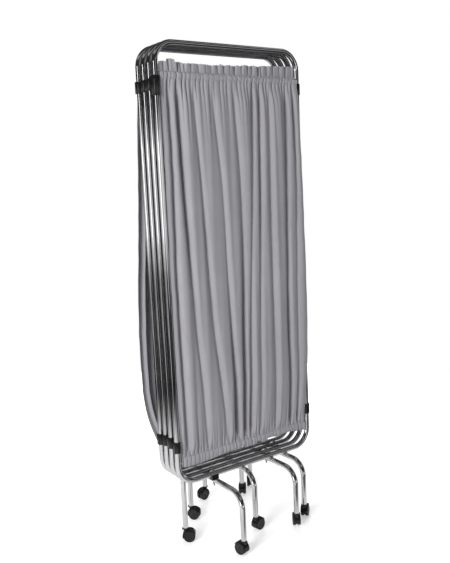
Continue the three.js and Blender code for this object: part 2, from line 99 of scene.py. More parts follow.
HALF = PANEL_WIDTH / 2
TOP_RAIL = BOTTOM_RAIL + PANEL_HEIGHT
TOP_ROD = TOP_RAIL - TOP_ROD_DROP
BOTTOM_ROD = BOTTOM_RAIL + BOTTOM_ROD_RISE
UPPER_CLIP = TOP_RAIL - UPPER_CLIP_DROP
LOWER_LINK = BOTTOM_RAIL + LOWER_LINK_RISE
LOWER_CLIP = BOTTOM_RAIL + LOWER_CLIP_RISE
TALL_CLIP = TOP_RAIL - TALL_CLIP_DROP
ARCH_AXIS = BOTTOM_RAIL - ARCH_DROP
STRAIGHT_RUN = PANEL_WIDTH - CORNER_RADIUS * 2
PANEL_Y = {name: (i - 1.5) * PANEL_PITCH for i, name in enumerate(PANELS)}
ARCH_X = {name: STRAIGHT_RUN * (share - 0.5) for name, share in ARCH_SHARES.items()}
HINGE_LEG_X = HINGE_LEG_PLACE - HALF

# Small gaps and rims that only the dressed model has.
SEAT_GAP = 0.0003
BORE_GAP = 0.0001
STILE_GAP = 0.00025
CLIP_RIM = 0.0012
SADDLE_RIM = 0.0016
RIM_SHARE = 0.08  # the rim at a tube's end, as a share of its radius
TOOL_REACH = 0.05  # of the bars that cut a saddle's grooves, to each side

# Seams and edges of the curtains, as heights above the floor.
TOP_STITCH_HIGH, TOP_STITCH_LOW = TOP_ROD + 0.008, TOP_ROD - 0.0145
BOTTOM_STITCH = BOTTOM_ROD + 0.0175
HEADER_EDGE, HEM_EDGE = 1.6205, 0.2915


def linked(name, data):
    made = bpy.data.objects.new(name, data)
    scene.collection.objects.link(made)
    return made


# Camera, at the photograph's place.
CAMERA_PLACE = (-1.404, -2.016, 1.242)
CAMERA_TURN = (34.4, 8.2, -2.69)  # yaw, pitch down and roll, in degrees
FOCAL_PIXELS, PICTURE_PIXELS = 700, 563


def make_camera():
    yaw, pitch, roll = (math.radians(a) for a in CAMERA_TURN)
    level = math.cos(pitch)
    forward = Vector((math.sin(yaw) * level, math.cos(yaw) * level, -math.sin(pitch)))
    right = forward.cross(UP).normalized()
    above = right.cross(forward)
    x = right * math.cos(roll) + above * math.sin(roll)
    y = above * math.cos(roll) - right * math.sin(roll)
    data = bpy.data.cameras.new("camera")
    data.sensor_width = 36
    data.lens = FOCAL_PIXELS / PICTURE_PIXELS * data.sensor_width
    turn = Matrix((x, y, -forward)).transposed().to_4x4()
    scene.camera = linked("camera", data)
    scene.camera.matrix_world = Matrix.Translation(CAMERA_PLACE) @ turn


make_camera()
scene.view_settings.view_transform = "Standard"


# Node helpers.
class Tree:
    def __init__(self, tree):
        self.tree = tree
        tree.nodes.clear()

    def add(self, kind, settings=None, **inputs):
        node = self.tree.nodes.new("ShaderNode" + kind)
        for key, value in (settings or {}).items():
            setattr(node, key, value)
        for key, value in inputs.items():
            name = key.replace("_", " ")
            socket = node.inputs[int(key[1:])] if key[0] == "i" and key[1:].isdigit() else node.inputs[name]
            self.put(socket, value)
        return node

    def put(self, socket, value):
        if isinstance(value, bpy.types.NodeSocket):
            self.tree.links.new(value, socket)
        elif isinstance(value, bpy.types.Node):
            self.tree.links.new(value.outputs[0], socket)
        else:
            socket.default_value = value

    def math(self, operation, a, b=0.0, c=0.0):
        node = self.add("Math", {"operation": operation})
        for socket, value in zip(node.inputs, (a, b, c)):
            self.put(socket, value)
        return node.outputs[0]

    def times(self, a, b):
        return self.math("MULTIPLY", a, b)

    def between(self, value, low, high, to_low=0.0, to_high=1.0, kind="LINEAR"):
        node = self.add("MapRange", {"interpolation_type": kind, "clamp": True})
        for key, number in zip(range(5), (value, low, high, to_low, to_high)):
            self.put(node.inputs[key], number)
        return node.outputs[0]

    def fade(self, value, low, high, to_low=0.0, to_high=1.0):
        return self.between(value, low, high, to_low, to_high, "SMOOTHSTEP")

    def mixed(self, share, a, b):
        node = self.add("Mix", {"data_type": "RGBA"})
        self.put(node.inputs[0], share)
        self.put(node.inputs[6], a)
        self.put(node.inputs[7], b)
        return node.outputs[2]

    def noise(self, where, scale, detail=2.0, roughness=0.5):
        node = self.add("TexNoise", Scale=scale, Detail=detail, Roughness=roughness)
        self.put(node.inputs["Vector"], where)
        return node.outputs["Fac"]


def material(name):
    made = bpy.data.materials.new(name)
    made.use_nodes = True
    t = Tree(made.node_tree)
    return made, t, t.add("TexCoord").outputs["Object"]


def grey(level):
    return (level, level, level, 1)


def finished(made, t, bump, **inputs):
    t.add("OutputMaterial", Surface=t.add("BsdfPrincipled", Normal=bump, **inputs))
    return made


def chrome():
    made, t, where = material("chrome_tube")
    smear = t.noise(where, 18, 4, 0.6)
    grain = t.noise(where, 900, 2, 0.5)
    color = t.mixed(t.between(smear, 0.35, 0.7), (0.66, 0.66, 0.67, 1), (0.74, 0.74, 0.75, 1))
    rough = t.math("MULTIPLY_ADD", grain, 0.02, t.between(smear, 0.4, 0.75, 0.03, 0.09))
    bump = t.add("Bump", Strength=0.5, Distance=0.000003, Height=grain)
    return finished(made, t, bump, Base_Color=color, Metallic=1, Roughness=rough)


def steel(name, level, rough_low, rough_high):
    made, t, where = material(name)
    smear = t.noise(where, 140, 3, 0.6)
    grain = t.noise(where, 2500, 2, 0.5)
    color = t.mixed(smear, grey(level * 0.85), grey(level * 1.1))
    rough = t.between(smear, 0.3, 0.7, rough_low, rough_high)
    bump = t.add("Bump", Strength=0.35, Distance=0.00006, Height=grain)
    return finished(made, t, bump, Base_Color=color, Metallic=1, Roughness=rough)


PLASTIC_DUST = (0.2, 0.19, 0.18, 1)


def plastic(name, level, rough_low, rough_high, grain_size, dust):
    made, t, where = material(name)
    blotch = t.noise(where, 60, 3, 0.6)
    grain = t.noise(where, grain_size, 3, 0.6)
    worn = t.between(t.noise(where, 380, 5, 0.75), 0.62, 0.74)
    fresh = t.mixed(blotch, grey(level * 0.8), grey(level * 1.25))
    color = t.mixed(t.times(worn, dust), fresh, PLASTIC_DUST)
    rough = t.math("MULTIPLY_ADD", worn, 0.15, t.between(blotch, 0.3, 0.7, rough_low, rough_high))
    bump = t.add("Bump", Strength=0.4, Distance=0.00008, Height=grain)
    return finished(made, t, bump, Base_Color=color, Roughness=rough, Specular_IOR_Level=0.42)


THREADS_PER_METRE = 1500
STITCH_PITCH, STITCH_HALF = 0.0034, 0.00045
CLOTH_DEEP, CLOTH_PALE = (0.298, 0.292, 0.312, 1), (0.327, 0.32, 0.341, 1)
CLOTH_SLUB, CLOTH_GAP = (0.37, 0.364, 0.384, 1), (0.228, 0.223, 0.24, 1)
STITCH_COLOR = (0.22, 0.215, 0.225, 1)


def cloth():
    made, t, where = material("curtain_cloth")
    x, _, z = t.add("SeparateXYZ", Vector=where).outputs
    wobble = t.times(t.noise(where, 70, 2), 0.9)
    warp = t.math("SINE", t.math("MULTIPLY_ADD", x, THREADS_PER_METRE * math.tau, wobble))
    weft = t.math("SINE", t.math("MULTIPLY_ADD", z, THREADS_PER_METRE * math.tau, wobble))
    weave = t.math("MULTIPLY_ADD", t.times(warp, weft), 0.5, 0.5)
    slub = t.add("Mapping", Vector=where, Scale=(420, 420, 18))
    streak = t.noise(slub.outputs[0], 1.0, 3, 0.55)
    patch = t.noise(where, 6.5, 3, 0.55)
    base = t.mixed(t.between(patch, 0.3, 0.7), CLOTH_DEEP, CLOTH_PALE)
    base = t.mixed(t.between(streak, 0.35, 0.7, 0, 0.3), base, CLOTH_SLUB)
    base = t.mixed(t.times(weave, 0.15), base, CLOTH_GAP)
    seams = BOTTOM_STITCH, TOP_STITCH_LOW, TOP_STITCH_HIGH
    lines = [t.math("COMPARE", z, seam, STITCH_HALF) for seam in seams]
    line = t.math("MAXIMUM", t.math("MAXIMUM", lines[0], lines[1]), lines[2])
    dash = t.math("GREATER_THAN", t.math("SINE", t.times(x, math.tau / STITCH_PITCH)), -0.35)
    thread = t.times(line, dash)
    base = t.mixed(t.times(thread, 0.6), base, STITCH_COLOR)
    height = t.math("MULTIPLY_ADD", thread, 2.2, t.math("MULTIPLY_ADD", streak, 0.5, weave))
    bump = t.add("Bump", Strength=0.35, Distance=0.00016, Height=height)
    sheen = {"Sheen_Weight": 0.12, "Sheen_Roughness": 0.5}
    return finished(made, t, bump, Base_Color=base, Roughness=0.88, Specular_IOR_Level=0.25, **sheen)


MATERIALS = {
    "chrome_tube": chrome(),
    "curtain_cloth": cloth(),
    "rod_steel": steel("rod_steel", 0.55, 0.25, 0.42),
    "bolt_steel": steel("bolt_steel", 0.5, 0.22, 0.4),
    "black_fitting": plastic("black_fitting", 0.009, 0.1, 0.18, 1800, 0.08),
    "caster_black": plastic("caster_black", 0.009, 0.18, 0.3, 1500, 0.1),
    "wheel_black": plastic("wheel_black", 0.011, 0.22, 0.36, 1200, 0.2),
}


# Mesh helpers.
def piece(name, mesh, slot, body, *nodes):
    made = linked(name, mesh)
    mesh.materials.clear()
    mesh.materials.append(MATERIALS[slot])
    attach(made, body)
    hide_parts(*nodes)
    return made


def smoothed(mesh, degrees=35):
    mesh.polygons.foreach_set("use_smooth", [True] * len(mesh.polygons))
    mesh.set_sharp_from_angle(angle=math.radians(degrees))
    return mesh


def mesh_from(bm, name):
    mesh = bpy.data.meshes.new(name)
    bm.to_mesh(mesh)
    bm.free()
    return mesh


def faced_out(mesh, weld=0):
    bm = bmesh.new()
    bm.from_mesh(mesh)
    if weld:
        bmesh.ops.remove_doubles(bm, verts=bm.verts, dist=weld)
    bmesh.ops.recalc_face_normals(bm, faces=bm.faces)
    bm.to_mesh(mesh)
    bm.free()
    return mesh


def mesh_of(name, points, faces):
    mesh = bpy.data.meshes.new(name)
    mesh.from_pydata([tuple(p) for p in points], [], faces)
    mesh.validate()
    return faced_out(mesh)


def ring_faces(start, after, count):
    return [(start + k, after + k, after + (k + 1) % count, start + (k + 1) % count) for k in range(count)]


# The faces of a stack of rings, closed on itself or with a face at either end.
def stack_faces(rings, count, closed=False):
    faces = []
    for i in range(rings if closed else rings - 1):
        faces += ring_faces(i * count, (i + 1) % rings * count, count)
    if not closed:
        last = (rings - 1) * count
        faces += [tuple(range(count)), tuple(range(last, last + count))]
    return faces


# A round bar along a flat path, closed on itself or with rounded ends.
def swept(name, path, normal, radius, closed, sides=40):
    points, rings = [], []
    count = len(path)
    for i, here in enumerate(path):
        before = path[i - 1] if closed or i else path[0]
        after = path[(i + 1) % count] if closed or i + 1 < count else path[-1]
        tangent = (after - before).normalized()
        rings.append((here, tangent.cross(normal), radius))
    if not closed:
        rim = radius * RIM_SHARE
        first, last = rings[0], rings[-1]
        inward = (path[1] - path[0]).normalized()
        backward = (path[-2] - path[-1]).normalized()
        rings[0] = (first[0] + inward * rim, first[1], radius)
        rings[-1] = (last[0] + backward * rim, last[1], radius)
        rings.insert(0, (first[0], first[1], radius - rim))
        rings.append((last[0], last[1], radius - rim))
    for here, side, size in rings:
        for k in range(sides):
            angle = (k + 0.5) / sides * math.tau
            points.append(here + side * (size * math.cos(angle)) + normal * (size * math.sin(angle)))
    return smoothed(mesh_of(name, points, stack_faces(len(rings), sides, closed)))


# A turned form: outline points are (radius, height) along the Z or the Y axis.
def turned(name, outline, sides=48, along_y=False):
    points, faces, rings = [], [], []
    for radius, height in outline:
        if radius < 1e-7:
            rings.append((len(points), 1))
            points.append((0, 0, height))
            continue
        rings.append((len(points), sides))
        for k in range(sides):
            angle = k / sides * math.tau
            points.append((radius * math.cos(angle), radius * math.sin(angle), height))
    for (a, na), (b, nb) in zip(rings, rings[1:]):
        if na == nb:
            faces += ring_faces(a, b, sides)
        elif na == 1:
            faces += [(a, b + k, b + (k + 1) % sides) for k in range(sides)]
        else:
            faces += [(a + k, b, a + (k + 1) % sides) for k in range(sides)]
    if along_y:
        points = [(x, z, y) for x, y, z in points]
    return smoothed(mesh_of(name, points, faces))


# A flat outline in XY made into a slab between two heights, with its rims rounded.
def slab(name, outline, low, high, rim, steps=3):
    bm = bmesh.new()
    corners = [bm.verts.new((x, y, low)) for x, y in outline]
    bottom = bm.faces.new(corners)
    made = bmesh.ops.extrude_face_region(bm, geom=[bottom])
    lifted = [v for v in made["geom"] if isinstance(v, bmesh.types.BMVert)]
    bmesh.ops.translate(bm, verts=lifted, vec=(0, 0, high - low))
    bmesh.ops.recalc_face_normals(bm, faces=bm.faces)
    edges = [e for e in bm.edges if abs(e.verts[0].co.z - e.verts[1].co.z) < 1e-7]
    bmesh.ops.bevel(bm, geom=edges, offset=rim, segments=steps, profile=0.5, affect="EDGES")
    return mesh_from(bm, name)


def block(name, low, high, rim, steps=3):
    bm = bmesh.new()
    bmesh.ops.create_cube(bm, size=1)
    middle = (Vector(low) + Vector(high)) / 2
    size = Vector(high) - Vector(low)
    for v in bm.verts:
        v.co = middle + v.co * size
    bmesh.ops.bevel(bm, geom=list(bm.edges), offset=rim, segments=steps, profile=0.5, affect="EDGES")
    return mesh_from(bm, name)


def joined(name, *meshes):
    bm = bmesh.new()
    for mesh in meshes:
        bm.from_mesh(mesh)
    return smoothed(mesh_from(bm, name))


# Cuts meshes out of one mesh.
def cut(mesh, *cutters):
    body = linked("cut_body", mesh)
    tools = [linked("cut_tool", cutter) for cutter in cutters]
    for tool in tools:
        modifier = body.modifiers.new("cut", "BOOLEAN")
        modifier.operation, modifier.solver, modifier.object = "DIFFERENCE", "EXACT", tool
    bpy.context.view_layer.update()
    done = bpy.data.meshes.new_from_object(body.evaluated_get(bpy.context.evaluated_depsgraph_get()))
    for made in (body, *tools):
        bpy.data.objects.remove(made)
    return smoothed(done)


def moved(mesh, matrix):
    mesh.transform(matrix)
    return mesh


def arc(x, y, radius, start, end, steps):
    angles = [start + (end - start) * i / steps for i in range(steps + 1)]
    return [(x + radius * math.cos(a), y + radius * math.sin(a)) for a in angles]


# Frames, arches and the straight leg.
def frame_path(y, steps=18):
    straight, low, high = HALF - CORNER_RADIUS, BOTTOM_RAIL + CORNER_RADIUS, TOP_RAIL - CORNER_RADIUS
    corners = ((straight, low, -0.5), (straight, high, 0), (-straight, high, 0.5), (-straight, low, 1))
    path = []
    for x, z, start in corners:
        bend = arc(x, z, CORNER_RADIUS, start * math.pi, (start + 0.5) * math.pi, steps)
        path += [Vector((px, y, pz)) for px, pz in bend]
    return path


def arch_path(x, y, steps=16):
    straight, spring = ARCH_SPAN / 2 - ARCH_BEND, ARCH_AXIS - ARCH_BEND
    path = [Vector((x, y - ARCH_SPAN / 2, LEG_END))]
    for side, start in ((-1, 1.0), (1, 0.5)):
        bend = arc(side * straight, spring, ARCH_BEND, start * math.pi, (start - 0.5) * math.pi, steps)
        path += [Vector((x, y + py, pz)) for py, pz in bend]
    path.append(Vector((x, y + ARCH_SPAN / 2, LEG_END)))
    return path


def bar(name, start, end, radius, normal, sides=40):
    return swept(name, [start, end], normal, radius, False, sides)


def rods(panel, y):
    reach = HALF - TUBE_RADIUS + ROD_SEAT
    for word, z in (("top", TOP_ROD), ("bottom", BOTTOM_ROD)):
        mesh = bar("rod", Vector((-reach, y, z)), Vector((reach, y, z)), ROD_RADIUS, THROUGH, 24)
        piece(f"{panel}_{word}_rod_bar", mesh, "rod_steel", f"{panel}_panel", f"{panel}_{word}_rod")


def saddle(panel, x, y):
    low, high = ARCH_AXIS + SADDLE_SHORT, BOTTOM_RAIL - SADDLE_SHORT
    long, wide = SADDLE_LENGTH / 2, SADDLE_WIDTH / 2
    mesh = block("saddle", (x - long, y - wide, low), (x + long, y + wide, high), SADDLE_RIM)
    rail_ends = [Vector((x + side * TOOL_REACH, y, BOTTOM_RAIL)) for side in (-1, 1)]
    tube_ends = [Vector((x, y + side * TOOL_REACH, ARCH_AXIS)) for side in (-1, 1)]
    rail = bar("rail", *rail_ends, TUBE_RADIUS, THROUGH)
    tube = bar("tube", *tube_ends, TUBE_RADIUS, ACROSS)
    made = cut(mesh, rail, tube)
    piece(f"{panel}_saddle_block", made, "black_fitting", f"{panel}_panel", f"{panel}_saddle")


def hexagon(radius, turn):
    angles = [k / 6 * math.tau + turn for k in range(6)]
    return [(radius * math.cos(a), radius * math.sin(a)) for a in angles]


# A domed bolt with a washer and its thread. Points are (radius, height) above the tip or the seat.
THREAD_RADIUS, THREAD_ROOT, THREAD_PITCH = 0.003, 0.0026, 0.001
BLIND_THREAD = 0.02
NUT_RADIUS, NUT_TURN = 0.0055, 0.3
BOLT_POINT = ((0, 0), (0.0022, 0), (0.0027, 0.0006))
BOLT_HEAD = (
    (0.0029, 0), (0.006, 0), (0.006, 0.0008), (0.0054, 0.001), (0.0051, 0.0022),
    (0.004, 0.0034), (0.0024, 0.004), (0.002, 0.0039), (0.0018, 0.0022), (0, 0.0022),
)


def bolt(name, x, y, seat, tip, nut_top, body, node):
    outline = [(r, tip + h) for r, h in BOLT_POINT]
    z = tip + 0.0008
    thread_end = nut_top or tip + BLIND_THREAD
    while z < thread_end:
        outline += [(THREAD_RADIUS, z), (THREAD_ROOT, z + THREAD_PITCH / 2)]
        z += THREAD_PITCH
    outline.append((BOLT_HEAD[0][0], thread_end + THREAD_PITCH))
    outline += [(r, seat + h) for r, h in BOLT_HEAD]
    parts = [turned("bolt", outline, 32)]
    if nut_top:
        parts.append(slab("nut", hexagon(NUT_RADIUS, NUT_TURN), nut_top - NUT_HEIGHT, nut_top, 0.0004, 2))
    mesh = moved(joined(name, *parts), Matrix.Translation((x, y, 0)))
    piece(name, mesh, "bolt_steel", body, node)


# Where a bolt's head rests: on the rail's top, or on the rising bend of its corner.
def head_seat(x):
    into = max(abs(x) - HALF + CORNER_RADIUS, 0)
    slope = math.asin(into / CORNER_RADIUS)
    rise = CORNER_RADIUS * (1 - math.cos(slope))
    return BOTTOM_RAIL + rise + TUBE_RADIUS / math.cos(slope) + BOLT_HEAD_RADIUS * math.tan(slope) + SEAT_GAP


def tubes():
    for panel in PANELS:
        y, x, body = PANEL_Y[panel], ARCH_X[panel], f"{panel}_panel"
        mesh = swept("frame", frame_path(y), THROUGH, TUBE_RADIUS, True)
        piece(f"{panel}_frame_tube", mesh, "chrome_tube", body, f"{panel}_frame")
        mesh = swept("arch", arch_path(x, y), ACROSS, TUBE_RADIUS, False)
        piece(f"{panel}_arch_tube", mesh, "chrome_tube", body, f"{panel}_foot_arch")
        saddle(panel, x, y)
        nut_top = ARCH_AXIS - TUBE_RADIUS - SEAT_GAP
        tip = nut_top - NUT_HEIGHT - BOLT_TIP
        bolt(f"{panel}_arch_bolt", x, y, head_seat(x), tip, nut_top, body, f"{panel}_foot_bolt")
        rods(panel, y)


def hinge_leg():
    x, y, body = HINGE_LEG_X, PANEL_Y["second"], "second_panel"
    place = Matrix.Translation((x, y, 0))
    top = BOTTOM_RAIL - HINGE_LEG_DROP
    rim, bore, bore_end = TUBE_RADIUS * RIM_SHARE, PLUG_RADIUS + BORE_GAP, top - PLUG_DEPTH - SEAT_GAP
    outline = [(0, LEG_END), (TUBE_RADIUS - rim, LEG_END), (TUBE_RADIUS, LEG_END + rim), (TUBE_RADIUS, top)]
    outline += [(bore, top), (bore, bore_end), (0, bore_end)]
    piece("hinge_leg_tube", moved(turned("leg", outline, 40), place), "chrome_tube", body, "hinge_leg")
    end, shoulder, crown = top - PLUG_DEPTH, top + SEAT_GAP, BOTTOM_RAIL - SADDLE_SHORT
    outline = [(0, end), (PLUG_RADIUS * 0.9, end), (PLUG_RADIUS, end + 0.0007), (PLUG_RADIUS, shoulder)]
    outline += [(TUBE_RADIUS, shoulder), (TUBE_RADIUS, crown), (0, crown)]
    rail = swept("rail", frame_path(y), THROUGH, TUBE_RADIUS + BORE_GAP, True)
    mesh = cut(moved(turned("plug", outline, 40), place), rail)
    piece("hinge_leg_plug_turned", mesh, "chrome_tube", body, "hinge_leg_plug")
    bolt("hinge_leg_bolt_head", x, y, head_seat(x), top - PLUG_BOLT_DEPTH, None, body, "hinge_leg_bolt")


# Hinge links and end clips.
def stile_tool(x, y, low, high):
    ends = Vector((x, y, low - 0.01)), Vector((x, y, high + 0.01))
    return bar("stile", *ends, TUBE_RADIUS + STILE_GAP, ACROSS, 48)


def links():
    lean = math.asin(LINK_WAIST / 2 / CLIP_RADIUS)
    for name, front, side in (("front", "front", 1), ("middle", "second", -1), ("rear", "third", 1)):
        x, y = side * HALF, PANEL_Y[front]
        outline = arc(x, y, CLIP_RADIUS, math.pi / 2 + lean, math.pi * 2.5 - lean, 40)
        outline += arc(x, y + PANEL_PITCH, CLIP_RADIUS, lean - math.pi / 2, math.pi * 1.5 - lean, 40)
        for word, middle in (("upper", UPPER_CLIP), ("lower", LOWER_LINK)):
            low, high = middle - CLIP_HEIGHT / 2, middle + CLIP_HEIGHT / 2
            mesh = slab("link", outline, low, high, CLIP_RIM)
            mesh = cut(mesh, stile_tool(x, y, low, high), stile_tool(x, y + PANEL_PITCH, low, high))
            piece(f"{name}_{word}_link_piece", mesh, "black_fitting", f"{name}_link", f"{name}_{word}_link")


def end_clips():
    lean = math.asin(CLIP_PAD / 2 / CLIP_RADIUS)
    clips = (
        ("front", "upper", TALL_CLIP, TALL_CLIP_HEIGHT),
        ("front", "lower", LOWER_CLIP, CLIP_HEIGHT),
        ("rear", "upper", UPPER_CLIP, CLIP_HEIGHT),
        ("rear", "lower", LOWER_CLIP, CLIP_HEIGHT),
    )
    for panel, word, middle, height in clips:
        x, y = -HALF, PANEL_Y[panel]
        outline = arc(x, y, CLIP_RADIUS, lean - math.pi, math.pi - lean, 44)
        outline += [(x - CLIP_RADIUS, y + CLIP_PAD / 2), (x - CLIP_RADIUS, y - CLIP_PAD / 2)]
        low, high = middle - height / 2, middle + height / 2
        mesh = slab("clip", outline, low, high, CLIP_RIM)
        tools = [stile_tool(x, y, low, high)]
        if height > CLIP_HEIGHT:
            tools.append(groove_tool(x, y, high - TALL_CLIP_GROOVE_DROP))
        name = f"{panel}_{word}_end_clip"
        piece(f"{name}_piece", cut(mesh, *tools), "black_fitting", f"{panel}_panel", name)


def groove_tool(x, y, middle):
    core, outer, half = CLIP_RADIUS - TALL_CLIP_GROOVE_DEPTH, CLIP_RADIUS * 2, TALL_CLIP_GROOVE / 2
    outline = [(core, -half), (outer, -half), (outer, half), (core, half), (core, -half)]
    mesh = faced_out(turned("groove", outline, 64), 1e-6)
    return moved(mesh, Matrix.Translation((x, y, middle)))


# Casters.
HOOD_START, HOOD_END = math.radians(25), math.radians(200)
HOOD_INNER, HOOD_OUTER, HOOD_HALF = 0.0221, 0.0246, 0.013
HOOD_LIP = 0.03  # the angle over which the hood thins to its end
HOOD_CROWN = (  # shares of half the width and of the wall
    (-1, 0.35), (-0.96, 0.7), (-0.86, 0.88), (-0.5, 0.97), (0, 1),
    (0.5, 0.97), (0.86, 0.88), (0.96, 0.7), (1, 0.35),
)
HUB_RADIUS, NECK_RADIUS = 0.008, 0.0078
STEM_TOP = LEG_END + 0.03

# One wheel of a pair: (radius, depth under its outer face), then (radius, height over its inner face).
WHEEL_FACE = (
    (0, 0.0004), (0.0034, 0.0004), (0.004, 0.0008), (0.0042, 0.0016), (0.0048, 0.0016), (0.0052, 0.0009),
    (0.009, 0.0011), (0.0135, 0.0009), (0.016, 0.0003), (0.0166, 0.0011), (0.0172, 0.0011),
    (0.0177, 0.0002), (0.019, 0), (0.02, 0.0004), (0.0207, 0.0011), (WHEEL_RADIUS, 0.0022),
)
WHEEL_BACK = ((WHEEL_RADIUS, 0.0019), (0.0206, 0.0008), (0.0196, 0.0002), (0.018, 0), (0.003, 0))


def hood():
    steps, points = 40, []
    section = [(y * HOOD_HALF, HOOD_INNER + (HOOD_OUTER - HOOD_INNER) * h) for y, h in HOOD_CROWN]
    section += [(HOOD_HALF * 0.97, HOOD_INNER), (-HOOD_HALF * 0.97, HOOD_INNER)]
    middle = (HOOD_INNER + HOOD_OUTER) / 2
    for i in range(steps + 1):
        angle = HOOD_START + (HOOD_END - HOOD_START) * i / steps
        if i in (1, steps - 1):
            angle = HOOD_START + HOOD_LIP if i == 1 else HOOD_END - HOOD_LIP
        shrink, narrow = (0.55, 0.96) if i in (0, steps) else (1, 1)
        for y, r in section:
            radius = middle + (r - middle) * shrink
            x, z = CASTER_TRAIL + radius * math.cos(angle), WHEEL_RADIUS + radius * math.sin(angle)
            points.append((x, y * narrow, z))
    return mesh_of("hood", points, stack_faces(steps + 1, len(section)))


def web():
    half = CASTER_WIDTH / 2 - WHEEL_WIDTH - 0.0005
    rim = (HOOD_INNER + HOOD_OUTER) / 2 - 0.0004
    outline = arc(CASTER_TRAIL, WHEEL_RADIUS, rim, HOOD_START, HOOD_END, 36)
    outline += arc(CASTER_TRAIL, WHEEL_RADIUS, HUB_RADIUS, math.pi, math.tau, 18)
    mesh = slab("web", outline, -half, half, 0.0006, 2)
    return moved(mesh, Matrix.Rotation(math.pi / 2, 4, "X"))


# The neck that carries the collar on the hood.
def neck():
    sides, points = 40, []
    top = LEG_END - 0.0062
    for scale, lift in ((1, None), (1, -0.002), (1.12, 0)):
        for k in range(sides):
            angle = k / sides * math.tau
            x, y = NECK_RADIUS * scale * math.cos(angle), NECK_RADIUS * scale * math.sin(angle)
            if lift is None:
                on_hood = WHEEL_RADIUS + math.sqrt((HOOD_OUTER - 0.0009) ** 2 - (x - CASTER_TRAIL) ** 2)
                z = min(on_hood, top - 0.0025)
            else:
                z = top + lift
            points.append((x, y, z))
    return mesh_of("neck", points, stack_faces(3, sides))


def caster_body():
    top = LEG_END - SEAT_GAP
    collar = [(0, top - 0.0065), (0.0094, top - 0.0065), (0.01, top - 0.0058), (0.01, top - 0.0008)]
    collar += [(0.0094, top - 0.0001), (0.0056, top), (0.0055, top + 0.002)]
    collar += [(0.0055, STEM_TOP - 0.0012), (0.0045, STEM_TOP), (0, STEM_TOP)]
    lug = block("lug", (-0.0128, -0.004, top - 0.006), (-0.0072, 0.004, top), 0.0009, 2)
    return joined("caster", hood(), web(), neck(), turned("collar", collar, 48), lug)


def wheel_pair():
    outer, inner = CASTER_WIDTH / 2, CASTER_WIDTH / 2 - WHEEL_WIDTH
    half = [(r, outer - depth) for r, depth in WHEEL_FACE] + [(r, inner + height) for r, height in WHEEL_BACK]
    outline = [(r, -h) for r, h in half] + [(r, h) for r, h in reversed(half)]
    mesh = turned("wheels", outline, 72, True)
    return moved(mesh, Matrix.Translation((CASTER_TRAIL, 0, WHEEL_RADIUS)))


def casters():
    places = {"hinge_leg": (HINGE_LEG_X, PANEL_Y["second"])}
    for panel in PANELS:
        places[f"{panel}_front"] = (ARCH_X[panel], PANEL_Y[panel] - ARCH_SPAN / 2)
        places[f"{panel}_back"] = (ARCH_X[panel], PANEL_Y[panel] + ARCH_SPAN / 2)
    for name, (x, y) in places.items():
        place = Matrix.Translation((x, y, 0)) @ Matrix.Rotation(math.radians(CASTER_TURNS[name]), 4, "Z")
        body, wheels = moved(caster_body(), place), moved(wheel_pair(), place)
        piece(f"{name}_caster_hood", body, "caster_black", f"{name}_caster", f"{name}_caster_body")
        piece(f"{name}_caster_tyres", wheels, "wheel_black", f"{name}_wheels", f"{name}_caster_wheels")


# Curtains. Heights are metres above the floor, shares across run from the left side edge to the right.
SHEET_WIDTH = PANEL_WIDTH - STILE_CLEARANCE * 2
CLOTH_HALF = 0.00045  # half of the cloth's thickness

# Creases of the front curtain: thousandths across at these heights, then their depths in hundredths.
FOLD_HEIGHTS = (0.4, 0.69, 0.95, 1.21, 1.54)
FRONT_CREASES = (
    ((55, 48, 44, 56, 56), (90, 100, 95, 95, 75)),
    ((206, 164, 141, 126, 117), (30, 50, 80, 135, 130)),
    ((357, 285, 259, 243, 219), (45, 55, 50, 45, 45)),
    ((439, 409, 396, 395, 345), (145, 100, 45, 25, 20)),
    ((504, 499, 515, 528, 505), (160, 140, 80, 30, 30)),
    ((553, 554, 575, 608, 649), (125, 85, 40, 40, 90)),
    ((626, 623, 645, 670, 703), (40, 45, 50, 70, 95)),
    ((753, 736, 739, 748, 774), (60, 50, 40, 45, 60)),
    ((880, 851, 859, 877, 911), (105, 125, 85, 80, 80)),
    ((940, 925, 934, 959, 961), (60, 25, 25, 35, 80)),
)

# Where fine gathers leave the seams of the front curtain, in thousandths across, with their depths in tenths.
FRONT_TOP_GATHERS = (
    (23, 7), (50, 12), (70, 6), (107, 16), (146, 11), (172, 8), (203, 5), (241, 6), (272, 4), (294, 6),
    (333, 6), (369, 4), (410, 6), (437, 4), (461, 7), (500, 5), (536, 7), (567, 5), (590, 5), (613, 7),
    (648, 13), (683, 6), (702, 13), (734, 9), (758, 8), (802, 6), (830, 4), (860, 5), (884, 9), (905, 9),
    (930, 5), (959, 11),
)
FRONT_LOW_GATHERS = (
    (9, 13), (38, 8), (67, 6), (97, 6), (130, 10), (150, 5), (171, 7), (202, 7), (232, 6), (252, 4),
    (271, 7), (309, 7), (333, 8), (364, 7), (392, 8), (416, 12), (452, 7), (489, 14), (512, 5), (542, 13),
    (565, 5), (584, 7), (613, 8), (651, 6), (672, 5), (694, 8), (720, 5), (745, 9), (789, 7), (812, 5),
    (833, 8), (860, 6), (882, 10), (910, 6), (941, 11), (970, 6),
)
FRONT_FRILL = (
    (31, 7), (68, 12), (128, 17), (149, 10), (173, 7), (221, 6), (274, 6), (320, 4), (363, 6), (410, 6),
    (458, 7), (500, 4), (536, 12), (586, 7), (636, 7), (671, 7), (720, 17), (742, 13), (786, 7), (834, 6),
    (888, 7), (937, 12), (985, 6),
)

